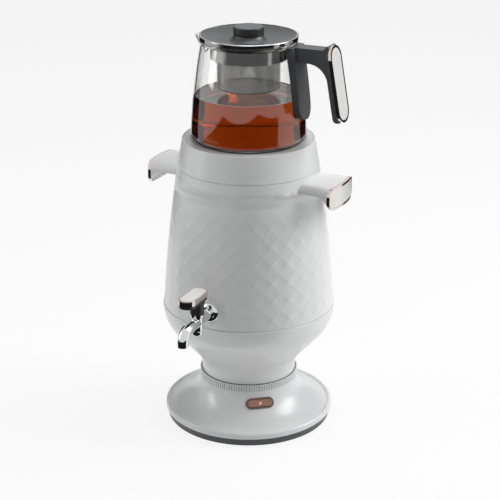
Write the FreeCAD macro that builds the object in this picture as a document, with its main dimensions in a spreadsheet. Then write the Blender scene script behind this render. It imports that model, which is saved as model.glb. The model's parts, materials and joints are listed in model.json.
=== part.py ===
"""Electric samovar: a round foot, a turning water tank with a tap, and a glass teapot on top.

Millimetres, +Z up. The origin is the centre of the foot's underside. The tap points along -Y,
the side handles lie along +X and -X, and the teapot's handle points along +X.
"""
import FreeCAD
import Part
import Sketcher
import math
import os

os.makedirs("parts", exist_ok=True)
doc = FreeCAD.newDocument("samovar")
V = FreeCAD.Vector

# Driving dimensions
DRIVING = {
    # foot
    "foot_radius": 100.0, "foot_wall": 1.6, "rim_low": 10.0, "rim_high": 14.0, "rim_lip": 3.0,
    "flare_low": 15.5, "flare_bend": 32.0, "flare_bend_radius": 66.8, "neck_height": 50.0,
    "neck_radius": 58.4, "flare_arc": 55.0, "neck_arc": 34.0,
    "pad_radius": 8.0, "pad_height": 1.0, "pad_recess": 2.0, "pad_circle": 80.0,
    "cover_floor": 2.5, "post_circle": 42.0, "post_radius": 5.0,
    "collar_height": 8.8, "collar_rib_depth": 0.9, "collar_ribs": 120.0,
    # swivel
    "hub_bore": 12.0, "hub_radius": 24.0, "run_gap": 0.06, "joint_gap": 0.5,
    # switch
    "switch_turn": 38.5, "switch_tilt": 26.0, "switch_reach": 63.6, "switch_height": 38.2,
    "switch_width": 34.0, "switch_depth": 12.8, "switch_travel": 1.6,
    # tank body
    "belly_radius": 100.9, "waist_radius": 55.7, "waist_height": 62.5, "waist_arc": 32.0,
    "belly_arc": 48.2, "seam_height": 145.5, "seam_gap": 0.4,
    "body_wall": 2.2, "body_radius": 100.1, "cover_top": 313.9, "cover_top_radius": 81.8,
    "cover_bulge": 2.13, "rim_height": 345.4, "rim_radius": 76.4, "lip_width": 1.6,
    "dent_depth": 1.0, "dent_columns": 30.0, "dent_rows": 6.0, "dent_height": 21.2,
    "dent_start": 158.8, "band_start": 298.0,
    "tank_radius": 72.0, "tank_wall": 0.8, "tank_floor": 150.0, "tank_corner": 6.0,
    "seal_height": 1.0, "lid_thick": 1.8, "steam_radius": 32.0,
    "heater_radius": 52.0, "heater_thick": 6.0, "element_radius": 40.0, "element_tube": 4.0,
    # side handles
    "wing_top": 308.0, "wing_low": 282.0, "wing_thick": 10.0, "wing_width": 64.0,
    "wing_reach": 116.0, "wing_corner": 10.0, "wing_flare": 15.0,
    "trim_depth": 3.5, "trim_width": 2.6,
    # tap
    "tap_height": 166.0, "tap_reach": 129.0, "tap_tube": 6.0, "tap_bore": 3.6,
    "barrel_radius": 6.6, "barrel_low": 149.5, "barrel_high": 173.4, "plug_radius": 4.4,
    "spout_radius": 6.3, "spout_bend": 12.0, "spout_reach": 162.5, "spout_low": 149.6,
    "flange_radius": 11.5, "boss_radius": 13.0, "nut_radius": 9.0, "nut_height": 6.0,
    "lever_length": 46.0, "lever_width": 20.0, "lever_top": 202.0, "lever_thick": 7.0,
    "lever_offset": 9.0, "stem_radius": 8.0,
    # teapot
    "pot_radius": 66.0, "pot_height": 114.6, "pot_mouth": 55.5, "pot_wall": 2.4,
    "pot_floor": 3.0, "pot_corner": 6.0, "lip_reach": 66.0,
    "strap_width": 31.0, "strap_thick": 8.0, "strap_low": 375.0, "bar_top": 457.0,
    "bar_low": 441.0, "bar_width": 19.0, "grip_width": 29.0, "grip_thick": 11.0, "grip_low": 378.0,
    "grip_top_reach": 102.4, "grip_low_reach": 117.0,
    # infuser and lid
    "flange_thick": 0.8, "throat_radius": 51.6, "collar_radius": 43.3, "basket_radius": 35.7,
    "collar_top": 452.0, "collar_low": 438.0, "basket_low": 403.6, "steel_wall": 0.6,
    "lid_radius": 55.9, "band_height": 4.0, "lid_dish": 0.6, "knob_radius": 17.3,
    "knob_height": 9.5, "hub_foot": 23.0,
    # shared
    "seat_gap": 0.1, "loose_gap": 0.3,
}

sheet = doc.addObject("Spreadsheet::Sheet", "sizes")
for row, (alias, number) in enumerate(DRIVING.items(), start=1):
    sheet.set("A%d" % row, alias.replace("_", " "))
    sheet.set("B%d" % row, repr(number))
    sheet.setAlias("B%d" % row, alias)
doc.recompute()


class Size:
    """A size with its number and the words that bind it to the sheet."""

    def __init__(self, number, words):
        self.number = float(number)
        self.words = words

    @staticmethod
    def of(other):
        return other if isinstance(other, Size) else Size(other, "(%r)" % float(other))

    def join(self, sign, number, other):
        return Size(number, "(%s %s %s)" % (self.words, sign, other.words))

    def __add__(self, other):
        other = Size.of(other)
        return self.join("+", self.number + other.number, other)

    def __sub__(self, other):
        other = Size.of(other)
        return self.join("-", self.number - other.number, other)

    def __mul__(self, other):
        other = Size.of(other)
        return self.join("*", self.number * other.number, other)

    def __truediv__(self, other):
        other = Size.of(other)
        return self.join("/", self.number / other.number, other)

    def __radd__(self, other):
        return Size.of(other) + self

    def __rsub__(self, other):
        return Size.of(other) - self

    def __rmul__(self, other):
        return Size.of(other) * self

    def __neg__(self):
        return Size.of(0) - self

    def root(self):
        return Size(math.sqrt(self.number), "sqrt(%s)" % self.words)


class Sizes:
    """The sheet's values by name."""

    def __getattr__(self, name):
        return Size(sheet.get(name), "sizes.%s" % name)


S = Sizes()
parts = {}


def number(value):
    return Size.of(value).number


def bind(obj, prop, value):
    """Tie one property of an object to a size."""
    obj.setExpression(prop, Size.of(value).words)


def draw(sketch, outline):
    """Closed outline of (x, y) points; a third value is the radius of the arc that ends there.

    A positive radius bends to the left on the way to the point, a negative one to the right.
    """
    count = len(outline)
    spots = [V(number(p[0]), number(p[1]), 0) for p in outline]
    for i in range(count):
        start = spots[i - 1]
        end = spots[i]
        if len(outline[i]) == 2:
            sketch.addGeometry(Part.LineSegment(start, end), False)
            continue
        radius = number(outline[i][2])
        chord = end - start
        half = chord.Length / 2
        rise = math.sqrt(max(radius * radius - half * half, 0.0))
        side = V(-chord.y, chord.x, 0).normalize() * (rise if radius > 0 else -rise)
        centre = (start + end) * 0.5 + side
        first = math.atan2(start.y - centre.y, start.x - centre.x)
        last = math.atan2(end.y - centre.y, end.x - centre.x)
        if radius < 0:
            first, last = last, first
        circle = Part.Circle(centre, V(0, 0, 1), abs(radius))
        sketch.addGeometry(Part.ArcOfCircle(circle, first, last), False)

    def end_of(i):
        return 1 if len(outline[i]) == 3 and number(outline[i][2]) < 0 else 2

    for i in range(count):
        after = (i + 1) % count
        sketch.addConstraint(Sketcher.Constraint("Coincident", i, end_of(i), after, 3 - end_of(after)))
    for i in range(count):
        for kind, value, line in (("DistanceX", outline[i][0], -2), ("DistanceY", outline[i][1], -1)):
            if abs(number(value)) < 1e-9:
                sketch.addConstraint(Sketcher.Constraint("PointOnObject", i, end_of(i), line))
            else:
                index = sketch.addConstraint(
                    Sketcher.Constraint(kind, -1, 1, i, end_of(i), number(value)))
                bind(sketch, "Constraints[%d]" % index, value)
        if len(outline[i]) == 3:
            radius = Size.of(outline[i][2])
            radius = radius if radius.number > 0 else -radius
            index = sketch.addConstraint(Sketcher.Constraint("Radius", i, radius.number))
            bind(sketch, "Constraints[%d]" % index, radius)


def sketch_on(body, role, outline, offset=0):
    """Sketch on one of the body's own origin planes."""
    sketch = body.newObject("Sketcher::SketchObject", body.Name + "_outline")
    plane = [f for f in body.Origin.OriginFeatures if f.Role == role][0]
    sketch.AttachmentSupport = [(plane, "")]
    sketch.MapMode = "FlatFace"
    if number(offset):
        bind(sketch, "AttachmentOffset.Base.z", offset)
    draw(sketch, outline)
    return sketch


def new_body(name):
    body = doc.addObject("PartDesign::Body", name)
    body.Label = name
    return body


def lathe(name, outline, angle=360):
    """Turned piece: the outline holds (radius, height) points."""
    body = new_body(name)
    sketch = sketch_on(body, "XZ_Plane", outline)
    turn = body.newObject("PartDesign::Revolution", name + "_turn")
    turn.Profile = sketch
    turn.ReferenceAxis = (sketch, ["V_Axis"])
    turn.Angle = angle
    return body


def pad(name, role, outline, start, length):
    """Extruded piece on a plane that lies start away from the origin, along the plane's normal."""
    body = new_body(name)
    sketch = sketch_on(body, role, outline, start)
    solid = body.newObject("PartDesign::Pad", name + "_pad")
    solid.Profile = sketch
    bind(solid, "Length", length)
    return body


def cylinder(name, radius, height, base=(0, 0, 0), turn=(0, 0, 1, 0)):
    """Plain cylinder; turn is an axis and an angle in degrees."""
    obj = doc.addObject("Part::Cylinder", name)
    bind(obj, "Radius", radius)
    bind(obj, "Height", height)
    obj.Placement = FreeCAD.Placement(V(0, 0, 0), FreeCAD.Rotation(V(*turn[:3]), turn[3]))
    place(obj, base)
    return obj


def place(obj, base):
    for axis, value in zip("xyz", base):
        if number(value):
            bind(obj, "Placement.Base." + axis, value)


def combine(kind, name, pieces):
    """Chain of two-piece booleans: Cut, Common or Fuse."""
    result = pieces[0]
    for i, piece in enumerate(pieces[1:], start=1):
        last = i == len(pieces) - 1
        joined = doc.addObject("Part::" + kind, name if last else "%s_%d" % (name, i))
        joined.Base = result
        joined.Tool = piece
        result = joined
    result.Label = name
    return result


def cut(name, *pieces):
    return combine("Cut", name, pieces)


def fuse(name, *pieces):
    return combine("Fuse", name, pieces)


def common(name, *pieces):
    return combine("Common", name, pieces)


def group(name, pieces):
    """Identical separate solids under one name."""
    obj = doc.addObject("Part::Compound", name)
    obj.Links = pieces
    return obj


def keep(obj, name=None):
    """Mark an object as a finished sub-part."""
    parts[name or obj.Label] = obj
    return obj


def ring_outline(inner, outer, low, high):
    return [(inner, low), (outer, low), (outer, high), (inner, high)]


def ring(name, inner, outer, low, high):
    return lathe(name, ring_outline(inner, outer, low, high))


def disc(name, radius, low, high):
    return lathe(name, [(0, low), (radius, low), (radius, high), (0, high)])


def rounded(x_low, x_high, y_low, y_high, corner):
    """Rounded rectangle, counter-clockwise from its lower left."""
    return [
        (x_low + corner, y_low, corner), (x_high - corner, y_low),
        (x_high, y_low + corner, corner), (x_high, y_high - corner),
        (x_high - corner, y_high, corner), (x_low + corner, y_high),
        (x_low, y_high - corner, corner), (x_low, y_low + corner),
    ]


def around(name, maker, count, start=0.0):
    """Copies made by maker(name, cosine, sine, angle) at even angles about the vertical axis."""
    made = []
    for i in range(count):
        angle = start + 360.0 * i / count
        turn = math.radians(angle)
        made.append(maker("%s_%d" % (name, i + 1), math.cos(turn), math.sin(turn), angle))
    return made


# Foot
under = S.pad_height
floor_top = under + S.cover_floor
shelf = S.neck_height - S.foot_wall


def flare(grow, top_inset):
    """Outside of the foot, grown outwards by a distance, from the rim up to the neck."""
    return [
        (S.foot_radius + grow, S.rim_low),
        (S.foot_radius + grow, S.rim_high),
        (S.foot_radius - S.rim_lip, S.rim_high + S.rim_lip + grow, S.rim_lip + grow),
        (S.foot_radius - S.rim_lip * 2 + grow * 0.25, S.flare_low + grow * 0.97),
        (S.flare_bend_radius + grow * 0.74, S.flare_bend + grow * 0.67, grow - S.flare_arc),
        (S.neck_radius + grow, S.neck_height, grow - S.neck_arc),
        (top_inset, S.neck_height),
    ]


def switch_place(reach):
    """Placement with local Z along the switch's outward normal, local X level."""
    heading = FreeCAD.Rotation(V(0, 0, 1), S.switch_turn.number)
    lean = FreeCAD.Rotation(V(1, 0, 0), 90 - S.switch_tilt.number)
    turn = heading.multiply(lean)
    spot = heading.multVec(V(0, -S.switch_reach.number, S.switch_height.number))
    return FreeCAD.Placement(spot + turn.multVec(V(0, 0, reach)), turn)


def oval(length, width):
    return rounded(-length / 2, length / 2, -width / 2, width / 2, width / 2 - 0.01)


def switch_piece(name, length, width, low, high):
    obj = pad(name, "XY_Plane", oval(length, width), low, high - low)
    obj.Placement = switch_place(0)
    return obj


neck_hole = S.hub_radius + S.run_gap
flange_reach = S.neck_radius - 12
foot_blank = lathe("foot_blank", flare(0, flange_reach) + [
    (flange_reach, shelf),
    (S.neck_radius - S.foot_wall, shelf),
    (S.flare_bend_radius - S.foot_wall * 0.74, S.flare_bend - S.foot_wall * 0.67, S.neck_arc + S.foot_wall),
    (S.foot_radius - S.rim_lip * 2 - S.foot_wall * 0.25, S.flare_low - S.foot_wall * 0.97,
     S.flare_arc + S.foot_wall),
    (S.foot_radius - S.foot_wall, S.rim_high - S.foot_wall / 2),
    (S.foot_radius - S.foot_wall, S.rim_low),
])
switch_cut = switch_piece("switch_cut", S.switch_width, S.switch_depth, Size.of(-14), Size.of(14))
keep(cut("foot_shell", foot_blank, switch_cut))

gland_height = (under + S.rim_low) / 2
gland_radius = Size.of(4)


def foot_spot(circle, cosine, sine):
    return (circle * cosine, circle * sine)


def feet_pads(name, cosine, sine, angle):
    x, y = foot_spot(S.pad_circle, cosine, sine)
    return cylinder(name, S.pad_radius, S.pad_height + S.pad_recess / 2, (x, y, 0))


def pad_recesses(name, cosine, sine, angle):
    x, y = foot_spot(S.pad_circle, cosine, sine)
    return cylinder(name, S.pad_radius + S.seat_gap, S.pad_recess / 2, (x, y, under))


screw_radius = Size.of(1.5)
screw_head = Size.of(3.2)
screw_sink = Size.of(1.2)


def cover_holes(name, cosine, sine, angle):
    x, y = foot_spot(S.post_circle, cosine, sine)
    shaft = cylinder(name + "_shaft", screw_radius + S.seat_gap, S.cover_floor * 2, (x, y, 0))
    head = cylinder(name + "_head", screw_head + S.seat_gap, screw_sink, (x, y, under))
    return fuse(name, shaft, head)


def foot_screw(name, cosine, sine, angle):
    x, y = foot_spot(S.post_circle, cosine, sine)
    head = cylinder(name + "_head", screw_head, screw_sink, (x, y, under))
    shaft = cylinder(name + "_shaft", screw_radius, S.post_circle / 3, (x, y, under + screw_sink))
    return fuse(name, head, shaft)


def carrier_post(name, cosine, sine, angle):
    x, y = foot_spot(S.post_circle, cosine, sine)
    post = cylinder(name + "_post", S.post_radius, shelf - floor_top - 1, (x, y, floor_top))
    pilot = cylinder(name + "_pilot", screw_radius, S.post_circle / 3, (x, y, floor_top))
    return cut(name, post, pilot)


def vent_slot(name, cosine, sine, angle):
    slot = pad(name, "XY_Plane", oval(Size.of(16), Size.of(3)), 0, S.cover_floor * 2)
    x, y = foot_spot(S.post_circle + 16, cosine, sine)
    slot.Placement = FreeCAD.Placement(V(x.number, y.number, 0), FreeCAD.Rotation(V(0, 0, 1), angle))
    return slot


cover_wall = S.foot_radius - S.foot_wall - S.loose_gap
cover_blank = lathe("cover_blank", [
    (0, under),
    (S.foot_radius - 2.9, under),
    (S.foot_radius - 1, S.rim_low),
    (cover_wall, S.rim_low),
    (cover_wall, S.rim_low + 2.6),
    (cover_wall - 2, S.rim_low + 2.6),
    (cover_wall - 2, floor_top),
    (0, floor_top),
])
gland_cut = cylinder("gland_cut", gland_radius, 20, (0, S.foot_radius + 2, gland_height), (1, 0, 0, 90))
keep(cut("base_cover", cover_blank, gland_cut, *(
    around("pad_recess", pad_recesses, 4, 45) + around("cover_hole", cover_holes, 4, 0)
    + around("vent_slot", vent_slot, 8, 22.5))))
keep(group("rubber_feet", around("foot_pad", feet_pads, 4, 45)))
keep(group("foot_screws", around("foot_screw", foot_screw, 4, 0)))

gland = lathe("cable_gland", [
    (gland_radius - 1, 0), (gland_radius - 0.05, 0), (gland_radius - 0.05, 10.2),
    (gland_radius + 0.4, 10.2), (gland_radius + 0.4, 11), (gland_radius - 1, 11)])
gland.Placement = FreeCAD.Placement(V(0, 0, 0), FreeCAD.Rotation(V(1, 0, 0), -90))
place(gland, (0, S.foot_radius - 11.1, gland_height))
keep(gland)

# Fixed half of the swivel
boss_top = S.neck_height + 5.3
washer_top = boss_top + 1
hub_top = S.neck_height + S.collar_height + S.joint_gap
carrier_tube = S.hub_radius + 7
carrier_blank = lathe("carrier_blank", [
    (neck_hole, shelf - 3.2), (carrier_tube, shelf - 3.2), (carrier_tube, shelf - 28.4),
    (carrier_tube + 2.4, shelf - 28.4), (carrier_tube + 2.4, shelf - 3.2),
    (flange_reach + 8, shelf - 3.2), (flange_reach + 8, shelf),
    (flange_reach - S.loose_gap, shelf), (flange_reach - S.loose_gap, boss_top),
    (neck_hole, boss_top),
])
keep(fuse("base_carrier", carrier_blank, *around("carrier_post", carrier_post, 4, 0)))
keep(ring("swivel_washer", neck_hole + 1, flange_reach - 3, boss_top, washer_top))

connector_low = shelf - 28.4
pin_radius = Size.of(8)
keep(lathe("base_connector", [
    (0, connector_low), (carrier_tube - S.seat_gap, connector_low),
    (carrier_tube - S.seat_gap, connector_low + 3), (pin_radius, connector_low + 3),
    (pin_radius, shelf - 9.4), (pin_radius - 2, shelf - 7.4), (0, shelf - 7.4),
]))

# Ribbed collar, ringed by upright V grooves
collar = ring("ribbed_ring", flange_reach, S.neck_radius - 0.4, S.neck_height,
              S.neck_height + S.collar_height)
groove_half = S.neck_radius * math.pi / S.collar_ribs * 0.7
groove_sketch = sketch_on(collar, "XY_Plane", [
    (S.neck_radius - 0.4 - S.collar_rib_depth, 0),
    (S.neck_radius + 0.4, -groove_half),
    (S.neck_radius + 0.4, groove_half),
], S.neck_height + 0.8)
groove = collar.newObject("PartDesign::Pocket", "rib_groove")
groove.Profile = groove_sketch
groove.Reversed = True
bind(groove, "Length", S.collar_height - 1.6)
ribs = collar.newObject("PartDesign::PolarPattern", "rib_pattern")
ribs.Originals = [groove]
ribs.Axis = (groove_sketch, ["N_Axis"])
ribs.Angle = 360
bind(ribs, "Occurrences", S.collar_ribs)
collar.Tip = ribs
keep(collar)

# Switch on the foot
bezel_width = Size.of(2)
switch_bite = Size.of(0.8)
bezel_outer = switch_piece("bezel_outer", S.switch_width - 0.2, S.switch_depth - 0.2, Size.of(-7), Size.of(12))
bezel_inner = switch_piece("bezel_inner", S.switch_width - bezel_width * 2, S.switch_depth - bezel_width * 2,
                           Size.of(-9), Size.of(14))
bezel_skin = lathe("bezel_skin", flare(switch_bite, 0) + [(0, S.rim_low)])
keep(common("switch_bezel", cut("bezel_ring", bezel_outer, bezel_inner), bezel_skin))
button_play = bezel_width * 2 + 0.7
button_blank = switch_piece("button_blank", S.switch_width - button_play, S.switch_depth - button_play,
                            Size.of(-5), Size.of(14))
button_skin = lathe("button_skin", flare(switch_bite + S.switch_travel, 0) + [(0, S.rim_low)])
lens_cut = cylinder("lens_cut", 1.9, 12)
lens_cut.Placement = switch_place(-3.0)
button_cut = cut("button_solid", common("button_form", button_blank, button_skin), lens_cut)
keep(button_cut, "switch_button")
lens_blank = cylinder("lens_blank", 1.8, 12)
lens_blank.Placement = switch_place(-3.0)
lens_skin = lathe("lens_skin", flare(switch_bite + S.switch_travel + 0.3, 0) + [(0, S.rim_low)])
keep(common("switch_lens", lens_blank, lens_skin))
keep(switch_piece("switch_body", S.switch_width - 1, S.switch_depth - 1, Size.of(-16),
                  Size.of(-7.1)))

terminal = doc.addObject("Part::Box", "terminal_block")
bind(terminal, "Length", 30)
bind(terminal, "Width", 14)
bind(terminal, "Height", 12)
place(terminal, (-15, S.foot_radius - 36, floor_top))
keep(terminal)

# Turning half of the swivel
keep(lathe("swivel_hub", [
    (S.hub_radius - 4, shelf - 18), (S.hub_radius, shelf - 18), (S.hub_radius, washer_top),
    (flange_reach - 3, washer_top), (flange_reach - 3, hub_top), (S.hub_radius - 4, hub_top),
]), "hub_blank")
keep(ring("retaining_ring", S.hub_radius, S.hub_radius + 5, shelf - 6.4, shelf - 3.7))
keep(lathe("tank_connector", [
    (pin_radius + 0.6, shelf - 22), (pin_radius + 4, shelf - 22), (pin_radius + 4, shelf - 6),
    (S.hub_radius - 4 - S.seat_gap, shelf - 6), (S.hub_radius - 4 - S.seat_gap, shelf - 2),
    (0, shelf - 2), (0, shelf - 5), (pin_radius + 0.6, shelf - 5),
]))

# Bowl under the cover: a waist, a straight run and a belly, each tangent to the next
waist_x = S.waist_radius + S.waist_arc
belly_x = S.belly_radius - S.belly_arc
belly_z = S.seam_height - 1.7
run_x = belly_x - waist_x
run_z = belly_z - S.waist_height
bends = S.waist_arc + S.belly_arc
run_square = run_x * run_x + run_z * run_z
run_length = (run_square - bends * bends).root()
lean_x = (run_x * run_length + run_z * bends) / run_square
lean_z = (run_z * run_length - run_x * bends) / run_square


def bowl_side(inset):
    """Radius and height of the bowl's straight run at both ends, moved inwards."""
    low = (waist_x - lean_z * (S.waist_arc + inset), S.waist_height + lean_x * (S.waist_arc + inset))
    high = (belly_x + lean_z * (S.belly_arc - inset), belly_z - lean_x * (S.belly_arc - inset))
    return low, high


bowl_low, bowl_high = bowl_side(0)
skin_low, skin_high = bowl_side(S.body_wall)
foot_drop = S.waist_height - hub_top
foot_x = waist_x - (S.waist_arc * S.waist_arc - foot_drop * foot_drop).root()
cover_low = S.seam_height + S.seam_gap


def cover_size(height):
    """Outer radius of the cover at a height, as a size tied to the sheet."""
    share = (height - cover_low) / (S.cover_top - cover_low)
    straight = S.body_radius + share * (S.cover_top_radius - S.body_radius)
    return straight + S.cover_bulge * share * (1 - share) * 4


cover_middle = (cover_low + S.band_start) / 2


def skin_size(height):
    """Inner radius of the cover's lower half, which tapers evenly up to its middle."""
    taper = (S.body_radius - cover_size(cover_middle)) / (cover_middle - cover_low)
    return S.body_radius - S.body_wall - (height - cover_low) * taper


spigot_high = S.seam_height + 4.5
spigot = skin_size(spigot_high) - S.loose_gap
bowl_floor = hub_top + S.body_wall
floor_arc = S.waist_arc + S.body_wall
floor_drop = S.waist_height - bowl_floor
floor_x = waist_x - (floor_arc * floor_arc - floor_drop * floor_drop).root()
bowl_edge = Size.of(0.8)
bowl_blank = lathe("bowl_blank", [
    (S.hub_radius - 3, hub_top),
    (foot_x, hub_top),
    (bowl_low[0], bowl_low[1], -S.waist_arc),
    bowl_high,
    (S.belly_radius, belly_z, S.belly_arc),
    (S.belly_radius, S.seam_height - bowl_edge),
    (S.belly_radius - bowl_edge, S.seam_height, bowl_edge),
    (spigot, S.seam_height),
    (spigot, spigot_high),
    (spigot - 1.6, spigot_high),
    (spigot - 1.6, belly_z),
    (S.belly_radius - S.body_wall, belly_z),
    (skin_high[0], skin_high[1], S.body_wall - S.belly_arc),
    skin_low,
    (floor_x, bowl_floor, floor_arc),
    (S.hub_radius - 3, bowl_floor),
])
chassis_blank = ring("chassis_blank", S.hub_radius - 3, S.neck_radius - 10, bowl_floor, bowl_floor + 2)
stud_circle = S.hub_radius + 8
stud_radius = Size.of(2.5)
heater_low = S.tank_floor - S.heater_thick


def stud_hole(name, cosine, sine, angle):
    x, y = foot_spot(stud_circle, cosine, sine)
    return cylinder(name, stud_radius + S.seat_gap, 30, (x, y, washer_top + 0.5))


def clamp_stud(name, cosine, sine, angle):
    x, y = foot_spot(stud_circle, cosine, sine)
    return cylinder(name, stud_radius, heater_low - washer_top - 0.5, (x, y, washer_top + 0.5))


def clamp_nut(name, cosine, sine, angle):
    x, y = foot_spot(stud_circle, cosine, sine)
    prism = doc.addObject("Part::Prism", name + "_hexagon")
    prism.Polygon = 6
    bind(prism, "Circumradius", stud_radius * 1.85)
    bind(prism, "Height", 4)
    place(prism, (x, y, bowl_floor + 2))
    return cut(name, prism, cylinder(name + "_bore", stud_radius + 0.02, 6, (x, y, bowl_floor + 1)))


hub_blank = parts.pop("hub_blank")
keep(cut("swivel_hub_bored", hub_blank, *around("hub_tap", stud_hole, 3, 30)), "swivel_hub")
keep(cut("bowl_shell", bowl_blank, *around("bowl_hole", stud_hole, 3, 30)))
keep(cut("chassis_plate", chassis_blank, *around("chassis_hole", stud_hole, 3, 30)))
keep(group("clamp_studs", around("clamp_stud", clamp_stud, 3, 30)))
keep(group("clamp_nuts", around("clamp_nut", clamp_nut, 3, 30)))


# Faceted cover: shallow four-sided dents in a diamond lattice, a smooth band above them
def cover_radius(height):
    """Outer radius of the cover at a height, as plain numbers."""
    low = cover_low.number
    share = (height - low) / (S.cover_top.number - low)
    straight = S.body_radius.number + share * (S.cover_top_radius.number - S.body_radius.number)
    return straight + 4 * S.cover_bulge.number * share * (1 - share)


def cover_levels():
    """Heights of the lattice's half rows, with the cover's two ends."""
    half = S.dent_height.number / 2
    first = S.dent_start.number - half
    levels = [cover_low.number]
    height = first
    while height < S.band_start.number - half * 0.4:
        if height > cover_low.number + 0.5:
            levels.append(height)
        height += half
    levels.append(S.band_start.number)
    return levels


def dent_depth(column, height):
    """Depth of the dent centred at a lattice point, 0 where there is none."""
    row = (height - S.dent_start.number) / S.dent_height.number
    centre = abs(row - round(row)) < 1e-6 and column % 2 == 0
    rows = int(S.dent_rows.number)
    if not centre or row < -0.5 or row > rows + 0.5:
        return 0.0
    if column == 0 and height < S.tap_height.number + S.boss_radius.number + S.dent_height.number / 2:
        return 0.0
    fade = 1.0 if row < rows - 1.5 else (0.75 if row < rows - 0.5 else 0.35)
    return S.dent_depth.number * fade


def cover_point(column, height, inset=0.0):
    angle = math.pi * column / S.dent_columns.number - math.pi / 2
    radius = cover_radius(height) - inset
    return V(radius * math.cos(angle), radius * math.sin(angle), height)


def triangle(a, b, c):
    return Part.Face(Part.makePolygon([a, b, c, a]))


def faceted_solid():
    """Solid under the faceted skin; every second lattice point of each half row is a corner."""
    columns = int(S.dent_columns.number) * 2
    levels = cover_levels()
    half = S.dent_height.number / 2
    grid = []
    for height in levels:
        grid.append([cover_point(c, height, dent_depth(c, height)) for c in range(columns)])
    faces = []
    for row in range(len(levels) - 1):
        step = round((levels[max(row, 1)] - S.dent_start.number) / half)
        if row == 0:
            step -= 1
        for c in range(columns):
            after = (c + 1) % columns
            a, b = grid[row][c], grid[row][after]
            d, e = grid[row + 1][c], grid[row + 1][after]
            if (c + step) % 2 == 0:
                faces += [triangle(a, b, e), triangle(a, e, d)]
            else:
                faces += [triangle(a, b, d), triangle(b, e, d)]
    floor = grid[0]
    roof = grid[-1]
    faces.append(Part.Face(Part.makePolygon(floor + floor[:1])))
    faces.append(Part.Face(Part.makePolygon(roof + roof[:1])))
    solid = Part.Solid(Part.makeShell(faces))
    if solid.Volume < 0:
        solid.reverse()
    return solid


def feature(name, shape):
    obj = doc.addObject("Part::Feature", name)
    obj.Shape = shape
    return obj


band_proud = Size.of(0.12)
band_low = cover_size(S.band_start) + band_proud
facets = feature("facets", faceted_solid())
band = lathe("smooth_band", [
    (0, S.band_start), (band_low, S.band_start), (S.cover_top_radius, S.cover_top), (0, S.cover_top)])
cover_core = lathe("cover_core", [
    (0, cover_low - 1), (skin_size(cover_low - 1), cover_low - 1),
    (skin_size(cover_middle), cover_middle), (band_low - S.body_wall, S.band_start),
    (S.cover_top_radius - S.body_wall, S.cover_top + 1), (0, S.cover_top + 1)])
pad_face = cover_size(S.tap_height) + 1.5
boss_start = S.body_radius - S.body_wall * 3


def outward(name, radius, start, length, height, lateral=0):
    """Cylinder that points along -Y from a distance in front of the axis."""
    return cylinder(name, radius, length, (lateral, -start, height), (1, 0, 0, 90))


tap_pad = outward("tap_pad", S.boss_radius, boss_start, pad_face - boss_start, S.tap_height)
tap_clear = S.tap_tube + S.loose_gap
tap_hole = outward("tap_hole", tap_clear, S.tank_radius / 2, S.tank_radius, S.tap_height)

# Side handles: a wing with a flared end plate, seated on the smooth band
wing_seat = lathe("wing_seat", [
    (0, S.wing_low - 30), (cover_size(S.wing_low - 30) + S.seat_gap, S.wing_low - 30),
    (band_low + S.seat_gap, S.band_start),
    (S.cover_top_radius + S.seat_gap, S.cover_top), (0, S.cover_top)])
wing_root = S.cover_top_radius - 14
flare_start = S.wing_reach - S.wing_flare
screw_spread = S.wing_width * 0.28
wing_screw_height = S.band_start + 5
handle_screw_radius = Size.of(1.7)


def elevation(name, inset, start, length):
    """The end plate's rounded outline, extruded along X."""
    half = S.wing_width / 2 - inset
    return pad(name, "YZ_Plane", rounded(
        -half, half, S.wing_low + inset, S.wing_top - inset, S.wing_corner - inset), start, length)


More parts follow.
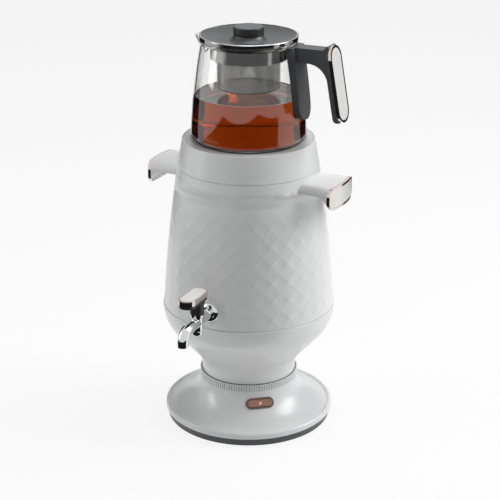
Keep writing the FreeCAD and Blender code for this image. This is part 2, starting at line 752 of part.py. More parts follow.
def handle_side(side):
    """One side handle; its screws come through the cover from inside."""
    section = pad("wing_section_" + side, "XZ_Plane", [
        (wing_root, S.wing_top - S.wing_thick), (flare_start, S.wing_top - S.wing_thick),
        (S.wing_reach - 2.5, S.wing_low, -(S.wing_flare * 1.2)), (S.wing_reach + 2, S.wing_low),
        (S.wing_reach + 2, S.wing_top),
        (wing_root, S.wing_top)], -S.wing_width / 2, S.wing_width)
    plan = cylinder("wing_plan_" + side, S.wing_reach, S.wing_top)
    block = elevation("wing_block_" + side, 0, wing_root, S.wing_reach)
    wing = cut("wing_seated_" + side, common("wing_form_" + side, section, block, plan), wing_seat)
    pilots = []
    screws = []
    holes = []
    for end, lateral in (("front", -screw_spread), ("back", screw_spread)):
        tag = "%s_%s" % (side, end)
        head_face = S.cover_top_radius - S.body_wall - 3.6
        for made, name, radius, reach in (
                (pilots, "pilot_", handle_screw_radius, Size.of(18)),
                (holes, "screw_hole_", handle_screw_radius + S.seat_gap, Size.of(10))):
            made.append(cylinder(name + tag, radius, reach, (head_face, lateral, wing_screw_height),
                                 (0, 1, 0, 90)))
        head = cylinder("head_" + tag, handle_screw_radius * 1.9, 1.8,
                        (head_face - 1.8, lateral, wing_screw_height), (0, 1, 0, 90))
        shaft = cylinder("shaft_" + tag, handle_screw_radius - 0.02, 16,
                         (head_face, lateral, wing_screw_height), (0, 1, 0, 90))
        screws.append(fuse("screw_" + tag, head, shaft))
    wing = cut("wing_" + side, wing, *pilots)
    rim = cylinder("trim_reach_" + side, S.wing_reach + S.trim_depth, S.wing_top)
    core = cylinder("trim_core_" + side, S.wing_reach + S.seat_gap, S.wing_top + 1)
    outer = elevation("trim_outer_" + side, 0, S.wing_reach * 0.7, S.wing_reach)
    inner = elevation("trim_inner_" + side, S.trim_width, S.wing_reach * 0.7, S.wing_reach)
    trim = cut("trim_" + side, common("trim_form_" + side, outer, rim), core, inner)
    face = elevation("insert_face_" + side, S.trim_width + S.seat_gap, S.wing_reach * 0.7, S.wing_reach)
    reach = cylinder("insert_reach_" + side, S.wing_reach + S.trim_depth - 0.4, S.wing_top)
    insert = cut("insert_" + side, common("insert_form_" + side, face, reach),
                 cylinder("insert_core_" + side, S.wing_reach + S.seat_gap, S.wing_top + 1))
    if side == "left":
        for piece in (wing, trim, insert) + tuple(screws) + tuple(holes):
            half_turn = FreeCAD.Placement(V(0, 0, 0), FreeCAD.Rotation(V(0, 0, 1), 180))
            if piece.TypeId == "Part::Cylinder":
                base = piece.Placement.Base
                piece.setExpression("Placement.Base.x", "-(%s)" % head_face.words)
                piece.Placement = half_turn.multiply(FreeCAD.Placement(base, piece.Placement.Rotation))
            else:
                piece.Placement = half_turn
    keep(wing, "side_handle_" + side)
    keep(trim, "side_trim_" + side)
    keep(insert, "side_insert_" + side)
    return screws, holes


right_screws, right_holes = handle_side("right")
left_screws, left_holes = handle_side("left")
keep(group("handle_screws", right_screws + left_screws))
cover_solid = fuse("cover_solid", facets, band, tap_pad)
cover_tools = [cover_core, tap_hole] + right_holes + left_holes
keep(cut("body_shell", cover_solid, *cover_tools))

# Shoulder ring, with the ledge that carries the tank
ledge_top = S.rim_height - S.lid_thick - S.seal_height - S.tank_wall - 0.2
lip_inner = S.rim_radius - S.lip_width
joint_low = S.cover_top + S.seam_gap
inner_spigot = S.cover_top_radius - S.body_wall - S.loose_gap
keep(lathe("shoulder_ring", [
    (inner_spigot - 1.6, joint_low - 5), (inner_spigot, joint_low - 5), (inner_spigot, joint_low),
    (S.cover_top_radius, joint_low), (S.rim_radius, S.rim_height - 0.8),
    (S.rim_radius - 0.8, S.rim_height, 0.8), (lip_inner, S.rim_height), (lip_inner, ledge_top),
    (S.tank_radius + 0.5, ledge_top), (S.tank_radius + 0.5, ledge_top - 3),
    (lip_inner - 0.6, ledge_top - 4), (inner_spigot - 1.6, joint_low),
]))

# Water tank, its seal and its lid
brim_reach = lip_inner - S.seat_gap
tank_inner = S.tank_radius - S.tank_wall
tank_blank = lathe("tank_blank", [
    (0, S.tank_floor), (S.tank_radius - S.tank_corner, S.tank_floor),
    (S.tank_radius, S.tank_floor + S.tank_corner, S.tank_corner), (S.tank_radius, ledge_top),
    (brim_reach, ledge_top), (brim_reach, ledge_top + S.tank_wall),
    (tank_inner, ledge_top + S.tank_wall), (tank_inner, S.tank_floor + S.tank_corner),
    (S.tank_radius - S.tank_corner, S.tank_floor + S.tank_wall, S.tank_wall - S.tank_corner),
    (0, S.tank_floor + S.tank_wall)])
tank_port = outward("tank_port", tap_clear, S.tank_radius / 2, S.tank_radius, S.tap_height)
keep(cut("water_tank", tank_blank, tank_port))
seal_low = ledge_top + S.tank_wall
lid_low = seal_low + S.seal_height
lid_top = lid_low + S.lid_thick
pot_base = lid_top - 0.8
keep(ring("tank_seal", tank_inner + 0.2, brim_reach, seal_low, lid_low))
keep(lathe("tank_lid", [
    (S.steam_radius, lid_low), (lip_inner - S.loose_gap, lid_low), (lip_inner - S.loose_gap, lid_top),
    (S.pot_radius + 1, lid_top), (S.pot_radius + 1, pot_base), (S.steam_radius, pot_base)]))

# Heater under the tank
keep(disc("heater_plate", S.heater_radius, heater_low, S.tank_floor))
element_ring = doc.addObject("Part::Torus", "element_ring")
bind(element_ring, "Radius1", S.element_radius)
bind(element_ring, "Radius2", S.element_tube)
element_ring.Angle3 = 320
element_high = heater_low - S.element_tube - S.seat_gap
place(element_ring, (0, 0, element_high))
element_ends = []
for tag, angle in (("start", 0), ("finish", 320)):
    turn = math.radians(angle)
    x, y = foot_spot(S.element_radius, math.cos(turn), math.sin(turn))
    element_ends.append(cylinder("element_" + tag, S.element_tube * 0.75, S.element_tube * 6,
                                 (x, y, element_high - S.element_tube * 6)))
keep(fuse("heating_element", element_ring, *element_ends))
thermostat_cap = disc("thermostat_cap", Size.of(9), heater_low - 6, heater_low)
thermostat_base = disc("thermostat_base", Size.of(7), heater_low - 14, heater_low - 5)
keep(fuse("thermostat", thermostat_cap, thermostat_base))

# Tap, along -Y
def tap_turned(name, outline, start):
    """Turned piece whose axis points along -Y, from a distance in front of the axis."""
    body = lathe(name, outline)
    body.Placement = FreeCAD.Placement(V(0, 0, 0), FreeCAD.Rotation(V(1, 0, 0), 90))
    place(body, (0, -start, S.tap_height))
    return body


tail_end = tank_inner - 10
flange_face = pad_face + 4
tail = outward("tap_tail", S.tap_tube, tail_end, S.tap_reach - tail_end, S.tap_height)
barrel = lathe("tap_barrel", [
    (0, S.barrel_low), (S.barrel_radius - 3.5, S.barrel_low),
    (S.barrel_radius - 0.6, S.barrel_low + 3, 4),
    (S.barrel_radius - 0.6, S.barrel_low + 6), (S.barrel_radius, S.barrel_low + 7),
    (S.barrel_radius, S.barrel_high), (0, S.barrel_high)])
place(barrel, (0, -S.tap_reach, 0))
bend_start = S.spout_reach - S.spout_bend


def spout_run(name, radius, start, low_end):
    """Level run, quarter bend and short drop of the spout."""
    level = outward(name + "_level", radius, start, bend_start - start, S.tap_height)
    bend = doc.addObject("Part::Torus", name + "_bend")
    bind(bend, "Radius1", S.spout_bend)
    bind(bend, "Radius2", radius)
    bend.Angle3 = 90
    bend.Placement = FreeCAD.Placement(V(0, 0, 0), FreeCAD.Rotation(V(0, 1, 0), 90))
    bend.Placement.Rotation = FreeCAD.Rotation(V(0, 1, 0), -90).multiply(FreeCAD.Rotation(V(0, 0, 1), -90))
    place(bend, (0, -bend_start, S.tap_height - S.spout_bend))
    drop = cylinder(name + "_drop", radius, S.tap_height - S.spout_bend - low_end,
                    (0, -S.spout_reach, low_end))
    return [level, bend, drop]


spout_outer = spout_run("spout", S.spout_radius, S.tap_reach, S.spout_low)
spout_inner = spout_run("spout_bore", S.spout_radius - 1.8, S.tap_reach, S.spout_low - 1)
plug_bore = cylinder("plug_bore", S.plug_radius + S.run_gap, S.barrel_high - S.barrel_low,
                     (0, -S.tap_reach, S.barrel_low + 4))
tail_bore = outward("tail_bore", S.tap_bore, tail_end - 1, S.tap_reach - tail_end, S.tap_height)
tap_solid = fuse("tap_solid", tail, barrel, *spout_outer)
keep(cut("tap_body", tap_solid, plug_bore, tail_bore, *spout_inner))
keep(tap_turned("tap_flange", [
    (S.tap_tube + 0.05, 0), (S.flange_radius, 0), (S.flange_radius, 1.2),
    (S.tap_tube + 2, 4, 7), (S.tap_tube + 0.05, 4)], pad_face))
spacer_length = skin_size(S.tap_height) - S.tank_radius - 1.1
keep(tap_turned("tap_spacer", [
    (tap_clear, 0), (S.boss_radius - 4, 0), (S.boss_radius - 4, spacer_length),
    (tap_clear, spacer_length)], S.tank_radius + 0.1))
nut_start = tank_inner - 2.7 - S.nut_height
keep(tap_turned("tap_gasket", [
    (S.tap_tube + 0.1, 0), (S.nut_radius, 0), (S.nut_radius, 1.6), (S.tap_tube + 0.1, 1.6)],
    nut_start + S.nut_height))
nut_prism = doc.addObject("Part::Prism", "nut_prism")
nut_prism.Polygon = 6
bind(nut_prism, "Circumradius", S.nut_radius)
bind(nut_prism, "Height", S.nut_height)
nut_prism.Placement = FreeCAD.Placement(V(0, 0, 0), FreeCAD.Rotation(V(1, 0, 0), 90))
place(nut_prism, (0, -nut_start, S.tap_height))
keep(cut("tap_nut", nut_prism, outward("nut_bore", S.tap_tube + 0.02, nut_start - 1,
                                       S.nut_height + 2, S.tap_height)))
stem_bore = S.plug_radius - 0.9
collar_top = S.barrel_high + 2.4
tap_collar = ring("tap_collar", stem_bore + S.run_gap, S.barrel_radius + 1, S.barrel_high, collar_top)
place(tap_collar, (0, -S.tap_reach, 0))
keep(tap_collar)

# Turning part of the tap
plug_low = S.barrel_low + 4.3
plug_blank = lathe("plug_blank", [
    (0, plug_low), (S.plug_radius, plug_low), (S.plug_radius, S.barrel_high - 0.3),
    (stem_bore, S.barrel_high - 0.3), (stem_bore, collar_top + 8), (0, collar_top + 8)])
place(plug_blank, (0, -S.tap_reach, 0))
plug_way = cylinder("plug_way", S.tap_bore - 0.4, S.plug_radius * 4,
                    (-(S.plug_radius * 2), -S.tap_reach, S.tap_height), (0, 1, 0, 90))
keep(cut("tap_plug", plug_blank, plug_way))
stem_low = collar_top + S.loose_gap
plate_low = S.lever_top - S.lever_thick - 2.5
stem = lathe("lever_stem", [
    (0, stem_low), (S.stem_radius - 1, stem_low), (S.stem_radius, stem_low + 1, 1),
    (S.stem_radius, stem_low + 9), (S.lever_width / 2 - 0.4, plate_low + 0.5, -30), (0, plate_low + 0.5)])
place(stem, (0, -S.tap_reach, 0))


def lever_slab(name, inset, low, height):
    outline = upright_oval(S.lever_width - inset * 2, S.lever_length - inset * 2)
    slab = pad(name, "XY_Plane", outline, low, height)
    place(slab, (0, -(S.tap_reach + S.lever_offset), 0))
    return slab


def upright_oval(width, length):
    return rounded(-width / 2, width / 2, -length / 2, length / 2, width / 2 - 0.01)


stem_socket = cylinder("stem_socket", stem_bore, collar_top + 8 - stem_low + 1, (0, -S.tap_reach, stem_low - 1))
plate = lever_slab("lever_plate", 0.6, plate_low, S.lever_thick / 2)
keep(cut("tap_lever", fuse("lever_solid", stem, plate), stem_socket))
trim_low = plate_low + S.lever_thick / 2
trim_high = S.lever_top - 0.5
keep(cut("tap_lever_trim", lever_slab("lever_rim", 0, trim_low, trim_high - trim_low),
         lever_slab("lever_window", 2, trim_low - 1, trim_high - trim_low + 2)))
keep(lever_slab("tap_lever_insert", 2 + S.seat_gap, trim_low, S.lever_top - trim_low))

# Teapot
mouth_top = pot_base + S.pot_height
glass_neck = S.pot_mouth - 1


def glass_side(grow, low, high):
    """Outside of the glass, grown outwards, between two heights."""
    return [(S.pot_radius + grow, low), (glass_neck + grow, high, Size.of(700) + grow)]


glass_outer = lathe("glass_outer", [
    (0, pot_base), (S.pot_radius - S.pot_corner, pot_base),
    (S.pot_radius, pot_base + S.pot_corner, S.pot_corner),
    (glass_neck, mouth_top - 4, Size.of(700)), (S.pot_mouth, mouth_top - 1.2),
    (S.pot_mouth, mouth_top), (0, mouth_top)])
lip_low = 20
lip_outer = doc.addObject("Part::Cone", "lip_outer")
lip_inner_cone = doc.addObject("Part::Cone", "lip_inner")
lip_mouth = Size.of(13)
lip_foot = Size.of(7)
lip_lean = S.lip_reach - lip_mouth - (glass_neck - lip_foot) + 1
for cone, shrink in ((lip_outer, Size.of(0)), (lip_inner_cone, S.pot_wall * 0.75)):
    bind(cone, "Radius1", lip_foot - shrink)
    bind(cone, "Radius2", lip_mouth - shrink)
    bind(cone, "Height", 24)
    cone.Placement = FreeCAD.Placement(V(0, 0, 0), FreeCAD.Rotation(V(0, 1, 0), -11))
    place(cone, (-(glass_neck - lip_foot + 1.5), 0, mouth_top - 22))
glass_roof = doc.addObject("Part::Box", "glass_roof")
for prop, value in (("Length", 200), ("Width", 200), ("Height", 30)):
    bind(glass_roof, prop, value)
place(glass_roof, (-100, -100, mouth_top))
glass_inner = lathe("glass_inner", [
    (0, pot_base + S.pot_floor), (S.pot_radius - S.pot_corner, pot_base + S.pot_floor),
    (S.pot_radius - S.pot_wall, pot_base + S.pot_floor + S.pot_corner - S.pot_wall,
     S.pot_corner - S.pot_wall + 0.01),
    (glass_neck - S.pot_wall, mouth_top - 4, Size.of(700) - S.pot_wall),
    (S.pot_mouth - S.pot_wall, mouth_top - 1.2), (S.pot_mouth - S.pot_wall, mouth_top + 1),
    (0, mouth_top + 1)])
keep(cut("pot_glass", fuse("glass_solid", glass_outer, lip_outer), glass_roof, glass_inner, lip_inner_cone))

# Teapot handle: a strap on the glass, a bar and a leaning grip
strap_outer = lathe("strap_outer", [
    (0, S.strap_low - 10), (S.pot_radius + S.strap_thick, pot_base),
    (glass_neck + S.strap_thick, mouth_top - 4, Size.of(700)), (glass_neck + S.strap_thick, mouth_top + 6),
    (0, mouth_top + 6)])
strap_inner = lathe("strap_inner", [
    (0, pot_base), (S.pot_radius + S.seat_gap, pot_base),
    (S.pot_radius + S.seat_gap, pot_base + S.pot_corner),
    (glass_neck + S.seat_gap, mouth_top - 4, Size.of(700)), (S.pot_mouth + S.seat_gap, mouth_top - 1.2),
    (S.pot_mouth + S.seat_gap, mouth_top + 6), (0, mouth_top + 6)])
strap_half = S.strap_width / 2
strap_block = pad("strap_block", "YZ_Plane", [
    (-strap_half, S.strap_low + strap_half), (strap_half, S.strap_low + strap_half, strap_half + 0.01),
    (strap_half, S.bar_top), (-strap_half, S.bar_top)], glass_neck - 12, Size.of(40))
strap = common("strap", strap_block, strap_outer)
grip_slope = (S.grip_low_reach - S.grip_top_reach) / (S.bar_top + 5 - S.grip_low)
grip_back = S.grip_thick - 3.4


def grip_line(height, offset):
    """Distance from the axis of the grip's leaning face at a height."""
    return S.grip_top_reach + (S.bar_top + 5 - height) * grip_slope + offset


grip_high = S.bar_top + 5
web = pad("grip_web", "XZ_Plane", [
    (glass_neck, S.bar_low), (S.pot_radius + 10, S.bar_low),
    (grip_line(S.bar_low - 21, -grip_back - 1.7), S.bar_low - 21, Size.of(-24)),
    (grip_line(S.grip_low + 4, -grip_back - 1.7), S.grip_low + 4),
    (grip_line(S.grip_low, -3), S.grip_low, 5),
    (grip_line(S.grip_low, -1.7), S.grip_low),
    (grip_line(grip_high, -1.7), grip_high),
    (grip_line(grip_high, -4), grip_high),
    (grip_line(grip_high, -8), S.bar_top + 0.5), (glass_neck, S.bar_top),
], -S.bar_width / 2, S.bar_width)
grip_angle = math.degrees(math.atan(grip_slope.number))
grip_middle = (grip_high + S.grip_low) / 2
grip_length = (grip_high - S.grip_low) + 2


def grip_set(body):
    """Leans a piece on the grip's face."""
    body.Placement = FreeCAD.Placement(V(0, 0, 0), FreeCAD.Rotation(V(0, 1, 0), -grip_angle))
    place(body, (grip_line(grip_middle, 0) + 0.04, 0, grip_middle))
    return body


def grip_slab(name, inset, depth):
    slab = pad(name, "YZ_Plane", upright_oval(S.grip_width - inset * 2, grip_length - inset * 2), -1.7, depth)
    return grip_set(slab)


swell = new_body("grip_swell")
swell_back = sketch_on(swell, "YZ_Plane", upright_oval(S.bar_width, grip_length - 10), -grip_back - 1.7)
swell_face = sketch_on(swell, "YZ_Plane", upright_oval(S.grip_width - 0.6, grip_length - 0.6), -1.7)
swell_loft = swell.newObject("PartDesign::AdditiveLoft", "grip_swell_loft")
swell_loft.Profile = swell_back
swell_loft.Sections = [swell_face]
keep(cut("pot_handle", fuse("handle_solid", strap, web, grip_set(swell)), strap_inner))
keep(cut("pot_handle_trim", grip_slab("grip_rim", 0, Size.of(3.2)),
         grip_slab("grip_window", 2.6, Size.of(6))))
keep(grip_slab("pot_handle_insert", 2.7, Size.of(3.0)))

# Infuser
flange_top = mouth_top + S.flange_thick
keep(lathe("infuser_collar", [
    (S.throat_radius, mouth_top, Size.of(8.6)), (S.pot_mouth - 0.4, mouth_top),
    (S.pot_mouth - 0.4, flange_top), (S.throat_radius - S.steel_wall, flange_top),
    (S.collar_radius - S.steel_wall, S.collar_top + S.steel_wall, S.steel_wall - 8.6),
    (S.collar_radius - S.steel_wall, S.collar_low + S.steel_wall),
    (S.basket_radius, S.collar_low + S.steel_wall), (S.basket_radius, S.collar_low),
    (S.collar_radius, S.collar_low), (S.collar_radius, S.collar_top)]))
basket_top = S.collar_low + S.steel_wall
basket_corner = Size.of(3)
keep(lathe("infuser_basket", [
    (0, S.basket_low), (S.basket_radius - basket_corner, S.basket_low),
    (S.basket_radius, S.basket_low + basket_corner, basket_corner), (S.basket_radius, basket_top),
    (S.basket_radius - S.steel_wall, basket_top),
    (S.basket_radius - S.steel_wall, S.basket_low + basket_corner),
    (S.basket_radius - basket_corner, S.basket_low + S.steel_wall, S.steel_wall - basket_corner),
    (0, S.basket_low + S.steel_wall)]))

# Lid
band_top = flange_top + S.band_height + 0.4
dish_edge = S.lid_radius - 2.2
dish_foot = band_top - 6.5
knob_low = band_top - 0.6
keep(lathe("lid_band", [
    (dish_edge, flange_top), (S.lid_radius - 0.4, flange_top), (S.lid_radius, flange_top + 0.4, 0.4),
    (S.lid_radius, band_top - 0.8), (S.lid_radius - 0.8, band_top, 0.8), (dish_edge, band_top)]))
keep(lathe("lid_plate", [
    (2.6, dish_foot - 1.6), (S.hub_foot + 3, dish_foot - 1.6),
    (dish_edge, band_top - 2.6, 60), (dish_edge, band_top - 0.6), (S.hub_foot, dish_foot, -70),
    (S.knob_radius - 0.6, knob_low, -12), (2.6, knob_low)]))
knob_top = knob_low + S.knob_height
keep(lathe("lid_knob", [
    (2.2, knob_low), (S.knob_radius - 0.8, knob_low), (S.knob_radius, knob_low + 0.8, 0.8),
    (S.knob_radius, knob_top - 0.8), (S.knob_radius - 0.8, knob_top, 0.8),
    (S.knob_radius - 1.6, knob_top), (S.knob_radius - 1.6, knob_top - 0.6), (0, knob_top - 0.6),
    (0, knob_top - 2.2), (2.2, knob_top - 2.2)]))
keep(disc("knob_cap", S.knob_radius - 1.7, knob_top - 0.6, knob_top + 0.1))
keep(lathe("lid_screw", [
    (0, dish_foot - 3.6), (4.2, dish_foot - 3.6), (4.2, dish_foot - 1.6), (2.1, dish_foot - 1.6),
    (2.1, knob_top - 2.6), (0, knob_top - 2.6)]))


doc.recompute()
for obj in doc.Objects:
    if "Invalid" in obj.State or "Error" in obj.State:
        raise RuntimeError("%s failed to build" % obj.Name)
for name, obj in parts.items():
    obj.Label = name
    if obj.Shape.isNull() or not obj.Shape.isValid():
        raise RuntimeError("%s has no sound solid" % name)
for name, obj in parts.items():
    obj.Shape.exportStep("parts/%s.step" % name)
    print(name, len(obj.Shape.Solids), round(obj.Shape.Volume, 1))
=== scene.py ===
import bpy
import json
import math
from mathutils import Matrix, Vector


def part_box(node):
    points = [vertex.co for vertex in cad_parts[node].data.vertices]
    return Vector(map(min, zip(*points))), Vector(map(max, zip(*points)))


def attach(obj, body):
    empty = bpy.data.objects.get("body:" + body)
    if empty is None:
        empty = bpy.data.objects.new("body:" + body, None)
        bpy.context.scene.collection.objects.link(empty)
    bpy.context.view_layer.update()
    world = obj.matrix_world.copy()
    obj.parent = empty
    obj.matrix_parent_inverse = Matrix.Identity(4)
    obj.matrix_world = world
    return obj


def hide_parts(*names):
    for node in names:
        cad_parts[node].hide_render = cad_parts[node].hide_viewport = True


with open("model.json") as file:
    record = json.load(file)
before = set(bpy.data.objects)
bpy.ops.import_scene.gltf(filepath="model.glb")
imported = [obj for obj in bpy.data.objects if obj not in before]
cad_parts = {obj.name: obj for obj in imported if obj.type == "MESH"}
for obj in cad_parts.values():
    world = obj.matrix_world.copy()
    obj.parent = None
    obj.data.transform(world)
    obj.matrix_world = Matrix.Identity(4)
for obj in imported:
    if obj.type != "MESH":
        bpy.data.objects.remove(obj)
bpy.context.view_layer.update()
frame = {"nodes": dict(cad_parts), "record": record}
nodes = frame["nodes"]
bpy.ops.object.select_all(action="DESELECT")


# Shader sums
class Wire:
    """A socket of one finish, used in plain sums."""

    def __init__(self, finish, socket):
        self.finish = finish
        self.socket = socket

    def sum(self, operation, first, second=0.0):
        return self.finish.node("ShaderNodeMath", {"operation": operation}, {0: first, 1: second})

    def __add__(self, other):
        return self.sum("ADD", self, other)

    def __radd__(self, other):
        return self.sum("ADD", other, self)

    def __sub__(self, other):
        return self.sum("SUBTRACT", self, other)

    def __rsub__(self, other):
        return self.sum("SUBTRACT", other, self)

    def __mul__(self, other):
        return self.sum("MULTIPLY", self, other)

    def __rmul__(self, other):
        return self.sum("MULTIPLY", other, self)

    def __abs__(self):
        return self.sum("ABSOLUTE", self)

    def sine(self):
        return self.sum("SINE", self)

    def soft(self, low, high):
        """0 below low and 1 above high, with a smooth run between them."""
        return self.finish.node("ShaderNodeMapRange", {"interpolation_type": "SMOOTHSTEP"},
                                {"Value": self, "From Min": low, "From Max": high})


class Finish:
    """A material's nodes."""

    def __init__(self, name):
        self.material = bpy.data.materials.new(name)
        self.material.use_nodes = True
        self.tree = self.material.node_tree
        self.tree.nodes.clear()
        self.place = None

    def node(self, kind, settings, sockets, out=0):
        made = self.tree.nodes.new(kind)
        for key, value in settings.items():
            setattr(made, key, value)
        for key, value in sockets.items():
            if isinstance(value, Wire):
                self.tree.links.new(value.socket, made.inputs[key])
            else:
                made.inputs[key].default_value = value
        return Wire(self, made.outputs[out])

    def point(self):
        if self.place is None:
            self.place = self.node("ShaderNodeTexCoord", {}, {}, "Object")
        return self.place

    def axis(self, letter):
        return self.node("ShaderNodeSeparateXYZ", {}, {0: self.point()}, letter)

    def noise(self, scale, detail=2.0, rough=0.5, stretch=(1, 1, 1)):
        place = self.node("ShaderNodeMapping", {}, {"Vector": self.point(), "Scale": stretch})
        return self.node("ShaderNodeTexNoise", {},
                         {"Vector": place, "Scale": scale, "Detail": detail, "Roughness": rough}, "Fac")

    def blend(self, share, first, second):
        """A colour between two colours."""
        return self.node("ShaderNodeMix", {"data_type": "RGBA"}, {"Factor": share, 6: first, 7: second}, 2)

    def bump(self, height, depth):
        """Relief as deep as depth, in metres."""
        return self.node("ShaderNodeBump", {}, {"Height": height, "Distance": depth, "Strength": 1.0})

    def surface(self, **looks):
        words = {key.replace("_", " "): value for key, value in looks.items()}
        skin = self.node("ShaderNodeBsdfPrincipled", {}, words)
        return self.end(skin)

    def end(self, skin, inside=None):
        """Joins the finished shaders to the material."""
        made = self.tree.nodes.new("ShaderNodeOutputMaterial")
        self.tree.links.new(skin.socket, made.inputs["Surface"])
        if inside is not None:
            self.tree.links.new(inside.socket, made.inputs["Volume"])
        return self.material


def tone(red, green=None, blue=None):
    """Colour from three shares, or a grey from one."""
    return (red, red if green is None else green, red if blue is None else blue, 1.0)


# Finishes
def enamel(name, light, dark, rough, coat):
    """Glossy white lacquer with faint flow waves."""
    f = Finish(name)
    drift = f.noise(9.0, 2.0)
    grain = f.noise(900.0, 1.0)
    flow = f.noise(60.0, 1.0)
    return f.surface(Base_Color=f.blend(drift, light, dark),
                     Roughness=rough + 0.06 * (f.noise(35.0, 3.0) - 0.5),
                     Coat_Weight=coat, Coat_Roughness=0.14,
                     Normal=f.bump(flow * 0.7 + grain * 0.02, 0.00012))


white_enamel = enamel("white enamel", tone(0.80, 0.805, 0.81), tone(0.76, 0.765, 0.77), 0.33, 0.35)
white_plastic = enamel("white moulding", tone(0.80, 0.80, 0.805), tone(0.77, 0.77, 0.775), 0.38, 0.15)


def moulding(name, colour, other, rough, depth=0.00003, scale=1400.0):
    """Moulded plastic with a fine spark grain."""
    f = Finish(name)
    grain = f.noise(scale, 2.0)
    return f.surface(Base_Color=f.blend(f.noise(20.0, 3.0), colour, other),
                     Roughness=rough + 0.12 * (grain - 0.5),
                     Normal=f.bump(grain, depth))


dark_plastic = moulding("dark moulding", tone(0.060, 0.062, 0.066), tone(0.078, 0.080, 0.085), 0.42)
black_plastic = moulding("black moulding", tone(0.016), tone(0.024), 0.36)
grey_plastic = moulding("grey moulding", tone(0.052, 0.054, 0.057), tone(0.068, 0.070, 0.074), 0.36)
inner_plastic = moulding("inner moulding", tone(0.55, 0.55, 0.53), tone(0.60, 0.60, 0.58), 0.5)
rubber = moulding("foot rubber", tone(0.03), tone(0.045), 0.75, 0.00008, 700.0)
silicone = moulding("silicone", tone(0.62, 0.60, 0.56), tone(0.68, 0.66, 0.62), 0.6)


def metal(name, colour, other, rough, brush=0.0, stretch=(1, 1, 60)):
    """Polished or brushed metal."""
    f = Finish(name)
    hair = f.noise(220.0, 3.0, 0.6, stretch)
    cloud = f.noise(30.0, 3.0)
    return f.surface(Base_Color=f.blend(cloud, colour, other), Metallic=1.0,
                     Roughness=rough + 0.05 * (cloud - 0.5) + brush * (hair - 0.5),
                     Normal=f.bump(hair, 0.00001 + 0.0001 * brush))


chrome = metal("chrome", tone(0.80, 0.80, 0.81), tone(0.74, 0.745, 0.75), 0.07)
rose_gold = metal("rose gold", tone(0.38, 0.215, 0.165), tone(0.25, 0.135, 0.10), 0.24, 0.25, (1, 1, 90))
bezel_metal = metal("bezel metal", tone(0.20, 0.135, 0.115), tone(0.12, 0.08, 0.07), 0.2)
# Darkened chrome for the lid band: its dark base colour is a painted dark reflection.
dark_reflection_chrome = metal("dark reflection chrome", tone(0.42), tone(0.34), 0.1)
spun_steel = metal("spun steel", tone(0.46, 0.455, 0.445), tone(0.36, 0.355, 0.345), 0.12, 0.1, (60, 60, 1))
warm_chrome = metal("warm chrome", tone(0.80, 0.72, 0.67), tone(0.72, 0.63, 0.58), 0.06)
steel = metal("steel", tone(0.62, 0.62, 0.61), tone(0.54, 0.54, 0.53), 0.18, 0.12, (60, 60, 1))
aluminium = metal("aluminium", tone(0.66, 0.67, 0.68), tone(0.60, 0.61, 0.62), 0.4, 0.2, (1, 1, 40))
brass = metal("brass", tone(0.70, 0.52, 0.24), tone(0.60, 0.44, 0.20), 0.3)
grey_metal = moulding("grey enamel", tone(0.62, 0.62, 0.625), tone(0.57, 0.57, 0.575), 0.35)


def pearl_finish():
    """Pearly inlay with soft clouds."""
    f = Finish("pearl inlay")
    cloud = f.noise(70.0, 4.0, 0.6)
    return f.surface(Base_Color=f.blend(cloud, tone(0.82, 0.82, 0.81), tone(0.72, 0.715, 0.71)),
                     Roughness=0.22 + 0.08 * cloud, Coat_Weight=0.5, Coat_Roughness=0.06,
                     Normal=f.bump(cloud, 0.00004))


pearl = pearl_finish()


def glass_finish():
    """Clear glass with faint waves."""
    f = Finish("clear glass")
    waves = f.noise(18.0, 1.0)
    skin = f.node("ShaderNodeBsdfPrincipled", {}, {
        "Base Color": f.blend(waves, tone(0.97, 0.975, 0.97), tone(0.99, 0.99, 0.985)), "Roughness": 0.0,
        "IOR": 1.47, "Transmission Weight": 1.0, "Normal": f.bump(waves, 0.00005)})
    return f.end(skin)


glass = glass_finish()


def lens_finish():
    """Round pink lamp window in the switch."""
    f = Finish("switch lens")
    return f.surface(Base_Color=f.blend(f.noise(60.0), tone(0.70, 0.42, 0.36), tone(0.78, 0.50, 0.44)),
                     Roughness=0.2, Coat_Weight=0.5,
                     Emission_Color=tone(0.50, 0.20, 0.16), Emission_Strength=0.3)


lens = lens_finish()



def ribbed_enamel():
    """White lacquer with painted shade: it turns dark grey down in the grooves."""
    f = Finish("ribbed enamel")
    outward = f.node("ShaderNodeVectorMath", {"operation": "MULTIPLY"}, {0: f.point(), 1: (1, 1, 0)})
    reach = f.node("ShaderNodeVectorMath", {"operation": "LENGTH"}, {0: outward}, "Value")
    rib_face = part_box("ribbed_ring")[1].x
    # Mask of the rib faces; the grooves below them get the painted shade.
    unshaded_rib_face = reach.soft(rib_face - 0.0009, rib_face - 0.0001)
    # Painted shade: dark grey in the grooves, light lacquer on the rib faces.
    return f.surface(Base_Color=f.blend(unshaded_rib_face, tone(0.24, 0.24, 0.245), tone(0.74, 0.745, 0.75)),
                     Roughness=0.42 - 0.08 * unshaded_rib_face, Coat_Weight=0.2, Coat_Roughness=0.1,
                     Normal=f.bump(f.noise(60.0, 1.0), 0.00008))


hole_rows = 220
hole_pitch = 0.00095
pierced_top = 0.4365


